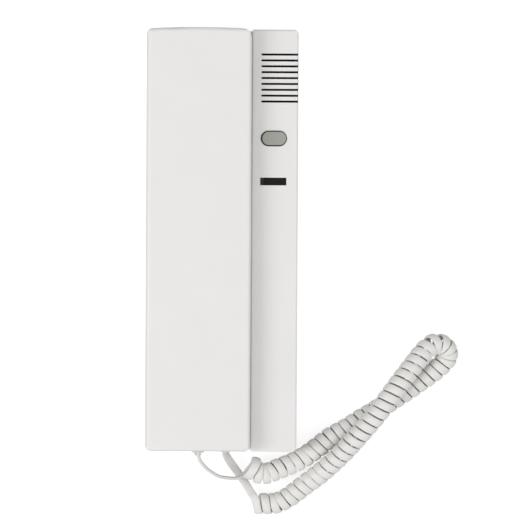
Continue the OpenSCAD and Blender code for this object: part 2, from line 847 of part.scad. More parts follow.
module cup_cuts(at, r, rings) {
  dish = arc_radius(cup_dish_r, cup_dish);
  post(at, cup_floor_z, part_z, r - handset_wall);
  translate([at[0], at[1], cup_z + cup_dish - dish]) sphere(dish, $fn = fine);
  for (hole = rings, i = [0:hole[1] - 1])
    translate([at[0], at[1], 0]) rotate([0, 0, 360 * i / hole[1]])
      post([hole[0], 0], cup_z - cut, cup_floor_z + cut, sound_hole_r);
}

module back_block() {
  translate([0, 0, part_z]) mirror([0, 0, 1]) handset_half(back_shell_h, handset_back_r);
}

// What is cut from the back shell's rim to leave a groove at the parting line
module parting_groove() {
  difference() {
    along_z(part_z - groove_h, part_z + cut) handset_plan(-cut, handset_y1 + cut);
    along_z(part_z - groove_h - cut, part_z + 2 * cut) handset_plan(groove_depth, handset_y1 - handset_arch);
  }
}

module rib(at, r) {
  ring(at, cup_floor_z - sink, cup_floor_z + rib_h, r + rib_t, r);
}

module handset_back_shell() {
  head_z = handset_z0 + head_h + cut;
  color("whitesmoke") difference() {
    union() {
      difference() {
        union() {
          difference() {
            back_block();
            difference() {
              handset_inside(handset_z0 + handset_wall, part_z + cut);
              grip_arch(handset_wall);
            }
          }
          cup(ear_at, ear_r);
          cup(mouth_at, mouth_r);
        }
        cup_cuts(ear_at, ear_r, ear_rings);
        cup_cuts(mouth_at, mouth_r, mouth_rings);
      }
      rib(ear_at, earpiece_r + fit_gap);
      rib(mouth_at, boot_r + fit_gap);
      for (at = handset_screw_at)
        post(at, handset_z0 + handset_wall - sink, handset_z0 + pillar_h, pillar_r);
    }
    grip_arch(0);
    parting_groove();
    for (at = handset_screw_at) {
      post(at, handset_z0 - cut, part_z, screw_r + fit_gap);
      post(at, handset_z0 - cut, head_z, head_r + slide_gap);
    }
    bush_hole(handset_bush, handset_y0, handset_wall, handset_bush_at);
  }
}

module earpiece() {
  rim_z = cup_floor_z + gasket_t;
  cone_z = rim_z + earpiece_rim_h;
  magnet_z = cone_z + earpiece_cone_h;
  color("dimgray") union() {
    post(ear_at, rim_z, cone_z, earpiece_r);
    translate([ear_at[0], ear_at[1], cone_z])
      cylinder(h = earpiece_cone_h, r1 = earpiece_r - rib_t, r2 = earpiece_magnet_r);
    post(ear_at, magnet_z, magnet_z + earpiece_magnet_h, earpiece_magnet_r);
  }
}

module earpiece_gasket() {
  color("#333333") ring(ear_at, cup_floor_z, cup_floor_z + gasket_t, earpiece_r, earpiece_r - gasket_w);
}

module microphone() {
  color("silver") post(mouth_at, cup_floor_z + boot_floor, cup_floor_z + boot_floor + mic_h, mic_r);
}

module microphone_boot() {
  color("#333333") difference() {
    post(mouth_at, cup_floor_z, cup_floor_z + boot_floor + mic_h, boot_r);
    post(mouth_at, cup_floor_z + boot_floor, cup_floor_z + boot_floor + mic_h + cut, mic_r);
    post(mouth_at, cup_floor_z - cut, cup_floor_z + boot_floor + cut, mic_r / 2);
  }
}

module counterweight() {
  color("slategray") box_on([handset_cx, weight_y], handset_z0 + handset_wall, weight_size);
}

module handset_screws() {
  color("silver") for (at = handset_screw_at)
    translate([at[0], at[1], handset_z0 + cut]) screw(handset_screw_len);
}

module handset_cord_bush() {
  color("gainsboro") cord_bush(handset_bush, handset_y0, handset_bush_out, handset_wall, handset_bush_at);
}

// Curly cord: one flat cord along a straight tail, the coil and the other straight tail

function unit(v) = v / norm(v);
function square_to(v, axis) = unit(v - (v * axis) * axis);
function smooth(t) = t * t * (3 - 2 * t);

// Point of a smooth curve through p, between p[i] and p[i + 1]
function curve_point(p, i, t) =
  let (a = p[max(i - 1, 0)], b = p[i], c = p[i + 1], d = p[min(i + 2, len(p) - 1)])
  (2 * b + (c - a) * t + (2 * a - 5 * b + 4 * c - d) * t * t + (3 * b - a - 3 * c + d) * t * t * t) / 2;

function curve(p, first, last, steps) =
  [for (i = [first:last - 1], k = [0:steps - 1]) curve_point(p, i, k / steps)];

function direction(p, i) = unit(p[min(i + 1, len(p) - 1)] - p[max(i - 1, 0)]);

// Axis of the coil, and the turns made up to each of its points: curls open where the axis bends
corner = [base_x1, base_y0, 0];
function from_corner(list) = [for (p = list) corner + p];
route = from_corner(coil_route);
axis = concat(curve(route, 0, len(route) - 1, route_steps), [route[len(route) - 1]]);
function bend_at(i) =
  let (a = max(i - 1, 0), b = min(i + 1, len(axis) - 1))
  norm(direction(axis, b) - direction(axis, a)) / norm(axis[b] - axis[a]);
function curl_step(i) = norm(axis[i + 1] - axis[i]) / (1 + curl_opening * coil_r * bend_at(i));
last_step = len(axis) - 1;
steps_made = [
  for (i = 0, sum = 0; i <= last_step; sum = sum + (i < last_step ? curl_step(i) : 0), i = i + 1) sum
];
turns = curls + (end_phase - start_phase) / 360;
turn_scale = turns / steps_made[last_step];
axis_tables = [for (j = [0:2]) [for (i = [0:last_step]) [steps_made[i] * turn_scale, axis[i][j]]]];

function axis_at(turn) = [for (table = axis_tables) lookup(turn, table)];
function axis_dir(turn) =
  let (t = max(1 / 4, min(turn, turns - 1 / 4)))
  unit(axis_at(t + 1 / 4) - axis_at(t - 1 / 4));
function axis_bend(turn) =
  (axis_dir(turn + 1 / 4) - axis_dir(turn - 1 / 4)) / norm(axis_at(turn + 1 / 4) - axis_at(turn - 1 / 4));
function side_dir(turn) =
  let (dir = axis_dir(turn), up = square_to([0, 0, 1], dir), phase = start_phase + 360 * turn)
  cos(phase) * up + sin(phase) * cross(dir, up);
function curl_r(turn) = coil_r * (1 + first_curl_flare * max(0, 1 - turn / flare_turns));
function curl_point(turn) = axis_at(turn) + curl_r(turn) * side_dir(turn);

// Width of the cord on a curl: curls crowd on the inner side of a bend
function curl_width(turn) =
  let (
    run = norm(axis_at(turn + 1 / 2) - axis_at(turn - 1 / 2)),
    pitch = run / (min(turn + 1 / 2, turns) - max(turn - 1 / 2, 0)),
    crowding = 1 - curl_r(turn) * (side_dir(turn) * axis_bend(turn))
  )
  max(least_w, min(cord_w, pitch * crowding - curl_gap));

curl_turns = [for (k = [0:curl_rings * turns]) k / curl_rings];
curl_points = [for (t = curl_turns) curl_point(t)];
last_curl = len(curl_points) - 1;

end_reaches = [0, straight_end, straight_end + end_lead];
function straight(at, y) = [for (reach = end_reaches) [at[0], y - reach, at[1]]];

handset_end = straight(handset_bush_at, handset_y0 - handset_bush_out - cord_end_gap);
base_end = straight(base_bush_at, base_y0 - base_bush_out - cord_end_gap);
handset_knots = concat(handset_end, from_corner(handset_tail), [curl_points[0], curl_points[1]]);
base_joint = [curl_points[last_curl], curl_points[last_curl - 1]];
base_knots = concat(base_end, from_corner(base_tail), base_joint);
handset_run = curve(handset_knots, 0, len(handset_knots) - 2, tail_steps);
base_run = curve(base_knots, 0, len(base_knots) - 2, tail_steps);

// Wide side of the cord: upright at the bushes, along the coil's axis on the curls
function twist(share, span) = smooth(max(0, min(1, (share - span[0]) / (span[1] - span[0]))));
function tail_side(run, dir, span) =
  [for (i = [0:len(run) - 1]) let (t = twist(i / len(run), span)) [0, 0, 1 - t] + t * dir];
function backwards(list) = [for (i = [len(list) - 1:-1:0]) list[i]];

cord_path = concat(handset_run, curl_points, backwards(base_run));
cord_side = concat(
  tail_side(handset_run, axis_dir(0), handset_twist),
  [for (t = curl_turns) axis_dir(t)],
  backwards(tail_side(base_run, axis_dir(turns), base_twist))
);
cord_width = concat(
  [for (p = handset_run) cord_w], [for (t = curl_turns) curl_width(t)], [for (p = base_run) cord_w]
);

function cord_ring(i) =
  let (dir = direction(cord_path, i), side = square_to(cord_side[i], dir), face = cross(dir, side))
  [for (k = [0:cord_sides - 1])
    let (a = 360 * k / cord_sides)
    cord_path[i] + side * cord_width[i] / 2 * cos(a) + face * cord_t / 2 * sin(a) / sin(60)];

function tube_faces(rings) = concat(
  [for (i = [0:rings - 2], k = [0:cord_sides - 1])
    let (a = i * cord_sides + k, b = i * cord_sides + (k + 1) % cord_sides) each
    [[a, b, a + cord_sides], [b, b + cord_sides, a + cord_sides]]],
  [for (k = [1:cord_sides - 2]) [0, k + 1, k]],
  [for (k = [1:cord_sides - 2]) (rings - 1) * cord_sides * [1, 1, 1] + [0, k, k + 1]]
);

// Least distance between points of rings that aren't neighbours along the cord
function least_gap(rings) = min([
  for (i = [0:len(rings) - 1], j = [i + curl_rings / 2:1:len(rings) - 1])
    if (norm(cord_path[i] - cord_path[j]) < cord_w + 2 * cord_t)
      for (p = rings[i], q = rings[j]) norm(p - q)
]);

module curly_cord() {
  rings = [for (i = [0:len(cord_path) - 1]) cord_ring(i)];
  gap = least_gap(rings);
  echo(cord_gap = gap, clear = gap > least_gap_wanted);
  color("white") polyhedron([for (r = rings) each r], tube_faces(len(rings)));
}

wall_plate();
base_cover();
cover_screw();
circuit_board();
board_screws();
call_speaker();
speaker_retainer();
grille_cloth();
release_button();
button_spring();
button_switch();
switch_plunger();
indicator_window();
indicator_led();
led_spacer();
hook_plunger();
hook_spring();
hook_switch();
terminal_block();
terminal_screws();
audio_chip();
capacitors();
base_cord_bush();
handset_front_shell();
handset_back_shell();
earpiece();
earpiece_gasket();
microphone();
microphone_boot();
counterweight();
handset_screws();
handset_cord_bush();
curly_cord();
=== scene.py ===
"""Looks of a wall intercom with a lift-off handset and a curly cord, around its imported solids."""

import math

import bmesh
import bpy
import numpy as np
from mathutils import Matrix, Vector


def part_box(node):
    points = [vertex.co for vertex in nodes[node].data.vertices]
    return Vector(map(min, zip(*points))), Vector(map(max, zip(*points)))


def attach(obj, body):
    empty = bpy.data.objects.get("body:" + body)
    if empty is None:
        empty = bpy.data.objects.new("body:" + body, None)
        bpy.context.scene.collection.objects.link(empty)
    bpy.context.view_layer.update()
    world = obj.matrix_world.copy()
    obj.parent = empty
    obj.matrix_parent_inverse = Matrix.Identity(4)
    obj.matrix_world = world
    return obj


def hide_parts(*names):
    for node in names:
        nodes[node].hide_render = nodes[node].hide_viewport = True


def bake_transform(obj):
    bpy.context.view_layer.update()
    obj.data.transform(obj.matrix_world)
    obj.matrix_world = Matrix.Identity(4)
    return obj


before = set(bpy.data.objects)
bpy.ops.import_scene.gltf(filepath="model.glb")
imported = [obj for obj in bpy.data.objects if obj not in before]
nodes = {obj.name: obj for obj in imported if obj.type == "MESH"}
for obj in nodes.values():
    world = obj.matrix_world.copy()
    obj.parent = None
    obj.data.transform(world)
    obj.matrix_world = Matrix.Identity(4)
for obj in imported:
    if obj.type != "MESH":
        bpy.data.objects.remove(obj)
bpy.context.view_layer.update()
scene = bpy.context.scene
base_low, base_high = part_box("base_cover")


# Camera: straight down on the device, a little turned and tilted

CAMERA_AT = (0.0216, 0.0065, 1.2000)
CAMERA_TURN_DEG = (-0.908, -0.002, 0.318)
CAMERA_LENS = 153.4
CAMERA_SENSOR = 36


def add_camera():
    data = bpy.data.cameras.new("camera")
    data.lens = CAMERA_LENS
    data.sensor_width = CAMERA_SENSOR
    camera = bpy.data.objects.new("camera", data)
    camera.location = CAMERA_AT
    camera.rotation_euler = [math.radians(a) for a in CAMERA_TURN_DEG]
    scene.collection.objects.link(camera)
    scene.camera = camera


add_camera()


# Meshes

def mesh_object(name, points, faces, smooth=True):
    mesh = bpy.data.meshes.new(name)
    mesh.from_pydata([tuple(p) for p in points], [], faces)
    mesh.validate()
    if smooth:
        mesh.shade_smooth()
    else:
        mesh.shade_flat()
    made = bpy.data.objects.new(name, mesh)
    scene.collection.objects.link(made)
    return made


def tube_mesh(name, rings, capped=(True, True)):
    """A skin over rings of points that all have the same count."""
    count = len(rings[0])
    points = [p for ring in rings for p in ring]
    faces = []
    for i in range(len(rings) - 1):
        for k in range(count):
            a, b = i * count + k, i * count + (k + 1) % count
            faces.append((a, b, b + count, a + count))
    if capped[0]:
        faces.append(tuple(reversed(range(count))))
    if capped[1]:
        faces.append(tuple(range((len(rings) - 1) * count, len(rings) * count)))
    return mesh_object(name, points, faces)


# Curly cord: the route's points repeat those of the solids, in metres from the base's lower right corner

COIL_ROUTE = [
    (-0.0232, -0.0106, 0.0126), (-0.0214, -0.0120, 0.0122), (-0.0190, -0.0132, 0.0116),
    (-0.0154, -0.0134, 0.0108), (-0.0110, -0.0118, 0.0098), (-0.0052, -0.0096, 0.0086),
    (-0.0008, -0.0078, 0.0076), (0.0048, -0.0048, 0.0066), (0.0086, -0.0022, 0.0062),
    (0.0120, 0.0004, 0.0060), (0.0188, 0.0056, 0.0060), (0.0264, 0.0098, 0.0060),
    (0.0338, 0.0146, 0.0060), (0.0418, 0.0194, 0.0060), (0.0520, 0.0260, 0.0060),
    (0.0626, 0.0332, 0.0060), (0.0728, 0.0406, 0.0060), (0.0768, 0.0440, 0.0060),
    (0.0794, 0.0470, 0.0062), (0.0804, 0.0500, 0.0068), (0.0796, 0.0528, 0.0076),
    (0.0776, 0.0548, 0.0084), (0.0752, 0.0556, 0.0092), (0.0722, 0.0554, 0.0102),
    (0.0696, 0.0536, 0.0112), (0.0668, 0.0510, 0.0122), (0.0642, 0.0478, 0.0134),
    (0.0590, 0.0412, 0.0154), (0.0542, 0.0350, 0.0170), (0.0490, 0.0278, 0.0178),
    (0.0434, 0.0200, 0.0178), (0.0374, 0.0126, 0.0170), (0.0318, 0.0060, 0.0158),
    (0.0254, -0.0014, 0.0134), (0.0190, -0.0080, 0.0106), (0.0126, -0.0140, 0.0080),
    (0.0056, -0.0194, 0.0066), (-0.0012, -0.0248, 0.0060), (-0.0050, -0.0274, 0.0060),
    (-0.0092, -0.0294, 0.0060), (-0.0126, -0.0300, 0.0060), (-0.0168, -0.0300, 0.0060),
]
HANDSET_TAIL = [
    (-0.0500, -0.0052, 0.0284), (-0.0474, -0.0088, 0.0254), (-0.0444, -0.0116, 0.0220),
    (-0.0406, -0.0142, 0.0184), (-0.0364, -0.0154, 0.0152), (-0.0320, -0.0160, 0.0118),
    (-0.0284, -0.0150, 0.0090), (-0.0256, -0.0116, 0.0076), (-0.0224, -0.0078, 0.0090),
]
BASE_TAIL = [
    (-0.0356, -0.0062, 0.0088), (-0.0334, -0.0096, 0.0072), (-0.0312, -0.0128, 0.0054),
    (-0.0288, -0.0162, 0.0046), (-0.0264, -0.0196, 0.0060), (-0.0238, -0.0236, 0.0080),
    (-0.0212, -0.0276, 0.0096),
]

# Shares of a tail between which the cord turns from upright to flat
HANDSET_TWIST = (0.85, 1)
BASE_TWIST = (-0.2, 0.65)

# How far each bush's nose stands out past its solid, and points of the cord's straight end from its tip
HANDSET_NOSE = 0.0006
BASE_NOSE = 0.0010
END_REACHES = (0.0007, -0.0006, -0.0011)

# Where the cord's two meshes meet, on the coil's half next to the handset
CROSSING = (0.0440, 0.0208)

# Section of the flat cord, with rounded edges
CORD_WIDTH = 0.0043
CORD_THICK = 0.0018
LEAST_WIDTH = 0.0008
SECTION_POWER = 2.7

# Coil
COIL_RADIUS = 0.0047
COIL_LEAD_IN = 0.0014
COIL_LEAD_OUT = 0.0029
CURLS = 58
CURL_GAP = 0.0002
START_PHASE = 270
END_PHASE = 300

# Curls stand closer in bends and looser at one place of the loop, and the first is larger and more upright
CURL_OPENING = -0.45
LOOSE_AT = (0.0732, 0.0553)
LOOSE_BY = 0.5
LOOSE_REACH = 0.0045
FIRST_CURL_FLARE = 0.18
FIRST_CURL_WIDENING = 0.35
FIRST_CURL_UPRIGHT = (1.6, 0.0, 0.0)
FLARE_TURNS = 1.5

# Fineness of the curves and of the mesh
ROUTE_STEPS = 6
TAIL_STEPS = 12
RINGS_PER_CURL = 32
SECTION_POINTS = 24
QUARTER_TURN = 0.25
HALF_TURN = 0.5

UP = np.array([0.0, 0.0, 1.0])
route_origin = np.array([base_high.x, base_low.y, 0.0])


def cord_end(node, nose):
    """The cord's straight end, from inside its bush outwards, and the point where it leaves the bush."""
    low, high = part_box(node)
    middle = (low + high) / 2
    end = low.y - nose
    return [(middle.x, end + reach, middle.z) for reach in END_REACHES], (middle.x, end, middle.z)


def curve(points, steps):
    """Points of a smooth curve through the given ones, without the last."""
    p = np.array(points, float)
    made = []
    for i in range(len(p) - 1):
        a, b, c, d = p[max(i - 1, 0)], p[i], p[i + 1], p[min(i + 2, len(p) - 1)]
        for t in np.arange(steps) / steps:
            square, cube = 2 * a - 5 * b + 4 * c - d, 3 * b - a - 3 * c + d
            made.append(b + ((c - a) * t + square * t**2 + cube * t**3) / 2)
    return np.array(made)


def units(v):
    return v / np.linalg.norm(v, axis=-1, keepdims=True)


def directions(p):
    ends = np.minimum(np.arange(len(p)) + 1, len(p) - 1)
    starts = np.maximum(np.arange(len(p)) - 1, 0)
    return units(p[ends] - p[starts])


def square_to(v, axis):
    return units(v - np.sum(v * axis, axis=-1, keepdims=True) * axis)


def ease(t):
    return t * t * (3 - 2 * t)


class Coil:
    """The coil's axis by turn, and the points and widths of the cord on it."""

    def __init__(self):
        route = route_origin + np.vstack([curve(COIL_ROUTE, ROUTE_STEPS), COIL_ROUTE[-1]])
        first = route[0] - COIL_LEAD_IN * units(route[1] - route[0])
        last = route[-1] + COIL_LEAD_OUT * units(route[-1] - route[-2])
        axis = np.vstack([first, route, last])
        along = directions(axis)
        after = np.minimum(np.arange(len(axis)) + 1, len(axis) - 1)
        before = np.maximum(np.arange(len(axis)) - 1, 0)
        turned = np.linalg.norm(along[after] - along[before], axis=1)
        bend = turned / np.linalg.norm(axis[after] - axis[before], axis=1)
        apart = np.linalg.norm((axis - route_origin)[:, :2] - np.array(LOOSE_AT), axis=1)
        loose = 1 + LOOSE_BY * np.exp(-((apart / LOOSE_REACH) ** 2))
        spread = loose * (1 + CURL_OPENING * COIL_RADIUS * bend)
        step = np.linalg.norm(np.diff(axis, axis=0), axis=1) / spread[:-1]
        self.turns = CURLS + (END_PHASE - START_PHASE) / 360
        self.axis = axis
        self.table = np.concatenate([[0], np.cumsum(step)]) * self.turns / step.sum()

    def at(self, turn):
        return np.stack([np.interp(turn, self.table, self.axis[:, j]) for j in range(3)], axis=-1)

    def along(self, turn):
        inner = np.clip(turn, QUARTER_TURN, self.turns - QUARTER_TURN)
        return units(self.at(inner + QUARTER_TURN) - self.at(inner - QUARTER_TURN))

    def bend(self, turn):
        before, after = turn - QUARTER_TURN, turn + QUARTER_TURN
        gap = np.linalg.norm(self.at(after) - self.at(before), axis=-1, keepdims=True)
        return (self.along(after) - self.along(before)) / gap

    def phase(self, turn):
        return np.radians(START_PHASE + 360 * turn)[..., None]

    def side(self, turn):
        along = self.along(turn)
        up = square_to(np.broadcast_to(UP, along.shape), along)
        return np.cos(self.phase(turn)) * up + np.sin(self.phase(turn)) * np.cross(along, up)

    def flare(self, turn):
        return np.maximum(0, 1 - turn / FLARE_TURNS)

    def radius(self, turn):
        return COIL_RADIUS * (1 + FIRST_CURL_FLARE * self.flare(turn))

    def wide(self, turn):
        """The cord's wide side: along the axis, turned towards X in the first curl so that it is upright."""
        return units(self.along(turn) + self.flare(turn)[:, None] * np.array(FIRST_CURL_UPRIGHT))

    def points(self, turn):
        return self.at(turn) + self.radius(turn)[:, None] * self.side(turn)

    def widths(self, turn):
        """The cord's width, less where curls crowd inside a bend."""
        before, after = turn - HALF_TURN, turn + HALF_TURN
        run = np.linalg.norm(self.at(after) - self.at(before), axis=-1)
        pitch = run / (np.minimum(after, self.turns) - np.maximum(before, 0))
        crowding = 1 - self.radius(turn) * np.sum(self.side(turn) * self.bend(turn), axis=-1)
        widest = CORD_WIDTH * (1 + FIRST_CURL_WIDENING * self.flare(turn))
        return np.clip(pitch * crowding - CURL_GAP, LEAST_WIDTH, widest)


def tail(end, knots, first, second, along, twist):
    """Path and wide sides from a bush to the coil: upright at first, then turned flat."""
    path = curve([*end, *(route_origin + np.array(knots)), first, second], TAIL_STEPS)[:-TAIL_STEPS]
    share = np.arange(len(path)) / len(path)
    t = ease(np.clip((share - twist[0]) / (twist[1] - twist[0]), 0, 1))[:, None]
    return path, UP * (1 - t) + along * t


def cord_path():
    """Centres, wide sides and widths of the cord from handset to base, and where it is parted."""
    coil = Coil()
    turn = np.arange(int(RINGS_PER_CURL * coil.turns) + 1) / RINGS_PER_CURL
    curl = coil.points(turn)
    eighth = RINGS_PER_CURL // 8
    handset_run, handset_side = tail(
        handset_end, HANDSET_TAIL, curl[0], curl[eighth], coil.wide(turn[:1])[0], HANDSET_TWIST,
    )
    base_run, base_side = tail(
        base_end, BASE_TAIL, curl[-1], curl[-1 - eighth], coil.along(turn[-1]), BASE_TWIST,
    )
    path = np.vstack([handset_run, curl, base_run[::-1]])
    side = np.vstack([handset_side, coil.wide(turn), base_side[::-1]])
    width = np.concatenate([
        np.full(len(handset_run), CORD_WIDTH), coil.widths(turn), np.full(len(base_run), CORD_WIDTH),
    ])
    first_half = turn < coil.turns / 2
    apart = np.linalg.norm((coil.at(turn) - route_origin)[:, :2] - np.array(CROSSING), axis=1)
    parted = len(handset_run) + int(np.argmin(np.where(first_half, apart, np.inf)))
    return path, side, width, parted


def cord_rings(path, side, width):
    along = directions(path)
    across = square_to(side, along)
    face = np.cross(along, across)
    angle = 2 * np.pi * np.arange(SECTION_POINTS) / SECTION_POINTS
    c = np.sign(np.cos(angle)) * np.abs(np.cos(angle)) ** (2 / SECTION_POWER)
    s = np.sign(np.sin(angle)) * np.abs(np.sin(angle)) ** (2 / SECTION_POWER)
    return (
        path[:, None, :]
        + across[:, None, :] * (width[:, None] / 2 * c)[:, :, None]
        + face[:, None, :] * (CORD_THICK / 2 * s)[None, :, None]
    )


handset_end, handset_exit = cord_end("handset_cord_bush", HANDSET_NOSE)
base_end, base_exit = cord_end("base_cord_bush", BASE_NOSE)
path, side, width, parted = cord_path()
rings = cord_rings(path, side, width)
cord_handset_side = tube_mesh("cord_handset_side", rings[: parted + 1], capped=(True, False))
cord_base_side = tube_mesh("cord_base_side", rings[parted:], capped=(False, True))

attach(cord_base_side, "base")
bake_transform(cord_handset_side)
for piece in (cord_handset_side, cord_base_side):
    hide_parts("curly_cord")


# Cord bushes: a moulded nose with round edges

BUSH_CORNER = 0.0018
BUSH_EDGE = 0.0007
BUSH_EDGE_STEPS = 5
RING_POINTS = 48


def round_rect_ring(half_w, half_h, radius, centre, y):
    """Points round a rectangle with round corners, square to Y, in the order that faces outwards."""
    ring = []
    for k in range(RING_POINTS):
        angle = 2 * math.pi * (k + 0.5) / RING_POINTS
        x = centre[0] + math.copysign(half_w - radius, math.cos(angle)) + radius * math.cos(angle)
        z = centre[1] + math.copysign(half_h - radius, math.sin(angle)) + radius * math.sin(angle)
        ring.append((x, y, z))
    return ring[::-1]


def add_bush(name, node, body, nose):
    low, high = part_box(node)
    end = low.y - nose
    half_w, half_h = (high.x - low.x) / 2, (high.z - low.z) / 2
    centre = ((low.x + high.x) / 2, (low.z + high.z) / 2)
    stations = [(end, BUSH_EDGE)]
    for k in range(1, BUSH_EDGE_STEPS + 1):
        turn = math.pi / 2 * k / BUSH_EDGE_STEPS
        stations.append((end + BUSH_EDGE * (1 - math.cos(turn)), BUSH_EDGE * (1 - math.sin(turn))))
    stations.append((high.y, 0))
    bush = tube_mesh(name, [
        round_rect_ring(half_w - inset, half_h - inset, BUSH_CORNER - inset / 2, centre, y)
        for y, inset in stations
    ])
    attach(bush, body)
    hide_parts(node)
    return bush


handset_bush = add_bush("handset_bush_moulding", "handset_cord_bush", "handset", HANDSET_NOSE)
base_bush = add_bush("base_bush_moulding", "base_cord_bush", "base", BASE_NOSE)


# Cradle rib: a low bead on the strip's wall that steadies the handset and nearly closes the gap beside it

HANDSET_GAP = 0.0003
RIB_REACH = 0.00022
RIB_ROOT = 0.0003
RIB_HEIGHT = 0.0012
RIB_CORNER = 0.0001
RIB_DROP = 0.0004
RIB_END = 0.0010


def add_rib():
    low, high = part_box("handset_front_shell")
    wall = high.x + HANDSET_GAP
    centre = (wall + (RIB_ROOT - RIB_REACH) / 2, base_high.z - RIB_DROP - RIB_HEIGHT / 2)
    rib = tube_mesh("cradle_rib", [
        round_rect_ring((RIB_ROOT + RIB_REACH) / 2, RIB_HEIGHT / 2, RIB_CORNER, centre, y)
        for y in (low.y + RIB_END, high.y - RIB_END)
    ])
    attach(rib, "base")
    return rib


cradle_rib = add_rib()


# Handset shells: copies of the solids, with the two upper corners cut rounder in plan

LEFT_CORNER_R = 0.0032
RIGHT_CORNER_R = 0.0048
CORNER_DROP = 0.0007
CORNER_STEPS = 12
CUTTER_MARGIN = 0.002
SHARP_EDGE_DEG = 30
WELD = 0.000001


def corner_cutter(side_x, end_y, radius, way, z_span):
    """Prism outside an arc between a side and the top end: way is 1 at the right and -1 at the left."""
    centre_x, centre_y = side_x - way * radius, end_y - radius
    far_x, far_y = side_x + way * CUTTER_MARGIN, end_y + CUTTER_MARGIN
    turns = [math.pi / 2 * k / CORNER_STEPS for k in range(CORNER_STEPS + 1)]
    outline = [(centre_x + way * radius * math.cos(t), centre_y + radius * math.sin(t)) for t in turns]
    outline += [(centre_x, far_y), (far_x, far_y), (far_x, centre_y)]
    if way > 0:
        outline.reverse()
    return tube_mesh("corner_cutter", [[(x, y, z) for x, y in outline] for z in z_span])


def apply_modifiers(piece):
    graph = bpy.context.evaluated_depsgraph_get()
    changed = piece.evaluated_get(graph)
    mesh = bpy.data.meshes.new_from_object(changed, preserve_all_data_layers=True, depsgraph=graph)
    piece.modifiers.clear()
    piece.data = mesh


def add_shell(name, node):
    """A welded copy of a shell, cut at both upper corners."""
    welded = bmesh.new()
    welded.from_mesh(nodes[node].data)
    bmesh.ops.remove_doubles(welded, verts=welded.verts, dist=WELD)
    mesh = bpy.data.meshes.new(name)
    welded.to_mesh(mesh)
    welded.free()
    shell = bpy.data.objects.new(name, mesh)
    scene.collection.objects.link(shell)
    low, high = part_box(node)
    z_span = (low.z - CUTTER_MARGIN, high.z + CUTTER_MARGIN)
    cutters = [
        corner_cutter(low.x, high.y - CORNER_DROP, LEFT_CORNER_R, -1, z_span),
        corner_cutter(high.x, high.y - CORNER_DROP, RIGHT_CORNER_R, 1, z_span),
    ]
    for cutter in cutters:
        cut = shell.modifiers.new("corner", "BOOLEAN")
        cut.operation = "DIFFERENCE"
        cut.solver = "EXACT"
        cut.object = cutter
    apply_modifiers(shell)
    for cutter in cutters:
        bpy.data.objects.remove(cutter)
    shell.data.shade_smooth()
    shell.data.set_sharp_from_angle(angle=math.radians(SHARP_EDGE_DEG))
    weighted = shell.modifiers.new("normals", "WEIGHTED_NORMAL")
    weighted.keep_sharp = True
    apply_modifiers(shell)
    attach(shell, "handset")
    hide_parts(node)
    return shell


handset_front = add_shell("handset_front_moulding", "handset_front_shell")
handset_back = add_shell("handset_back_moulding", "handset_back_shell")


# Springs: round wire wound between the faces that hold them

WIRE_RADIUS = 0.00035
WIRE_POINTS = 10
SPRING_RINGS_PER_TURN = 24
BUTTON_SPRING_TURNS = 8
HOOK_SPRING_TURNS = 3


def add_spring(name, node, turns):
    low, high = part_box(node)
    centre = (low + high) / 2
    radius = (high.x - low.x) / 2 - WIRE_RADIUS
    count = turns * SPRING_RINGS_PER_TURN
    t = np.arange(count + 1) / count
    angle = 2 * np.pi * turns * t
    centres = np.stack([
        centre.x + radius * np.cos(angle),
        centre.y + radius * np.sin(angle),
        low.z + WIRE_RADIUS + (high.z - low.z - 2 * WIRE_RADIUS) * t,
    ], axis=-1)
    along = directions(centres)
    out = square_to(np.stack([np.cos(angle), np.sin(angle), 0 * angle], axis=-1), along)
    face = np.cross(along, out)
    a = 2 * np.pi * np.arange(WIRE_POINTS) / WIRE_POINTS
    round_wire = out[:, None, :] * np.cos(a)[None, :, None] + face[:, None, :] * np.sin(a)[None, :, None]
    spring_rings = centres[:, None, :] + WIRE_RADIUS * round_wire
    spring = tube_mesh(name, spring_rings)
    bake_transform(spring)
    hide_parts(node)
    return spring


button_coil = add_spring("button_coil_spring", "button_spring", BUTTON_SPRING_TURNS)
hook_coil = add_spring("hook_coil_spring", "hook_spring", HOOK_SPRING_TURNS)


# Materials: every one takes its pattern from the object's own coordinates, in metres

